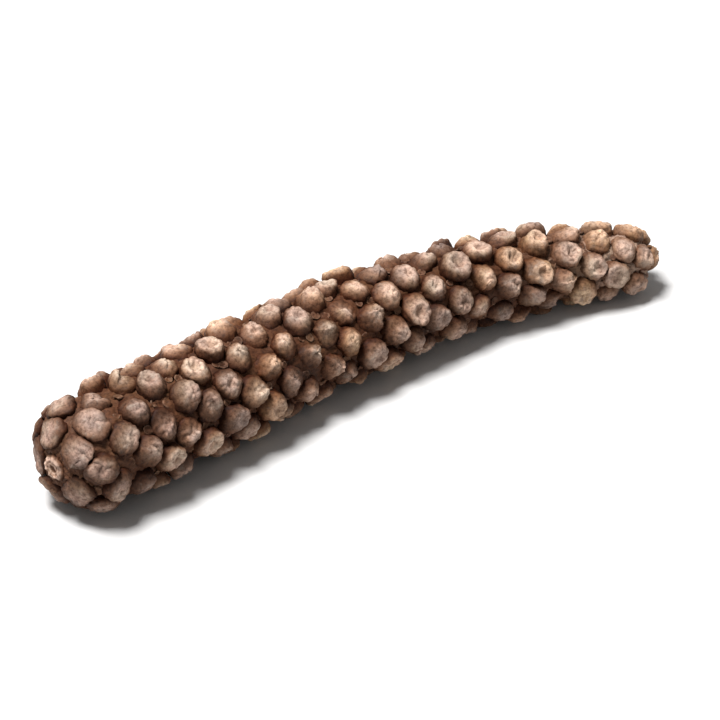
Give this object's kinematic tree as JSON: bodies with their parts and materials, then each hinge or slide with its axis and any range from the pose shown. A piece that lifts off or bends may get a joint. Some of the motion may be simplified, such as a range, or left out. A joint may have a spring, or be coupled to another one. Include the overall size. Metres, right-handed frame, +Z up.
{
  "type": "dried long pepper",
  "caption": "Dried long pepper spike, slim and gently bent, covered with small round berries in spiral rows, blunt at the stalk end and rounded at the tip.",
  "frame": {"origin": "bottom centre of the bounding box, on the surface that the pepper lies on", "axes": "+X along the length from the blunt stalk end to the tip, +Z up from the surface, the tip bends toward -Y"},
  "size_m": [0.0414, 0.01, 0.0069],
  "materials": {
    "berry_skin": "dry satin tan-brown skin with dark grooves between the berries"
  },
  "bodies": {
    "root": {"fruit_spike": "berry_skin"}
  },
  "joints": []
}
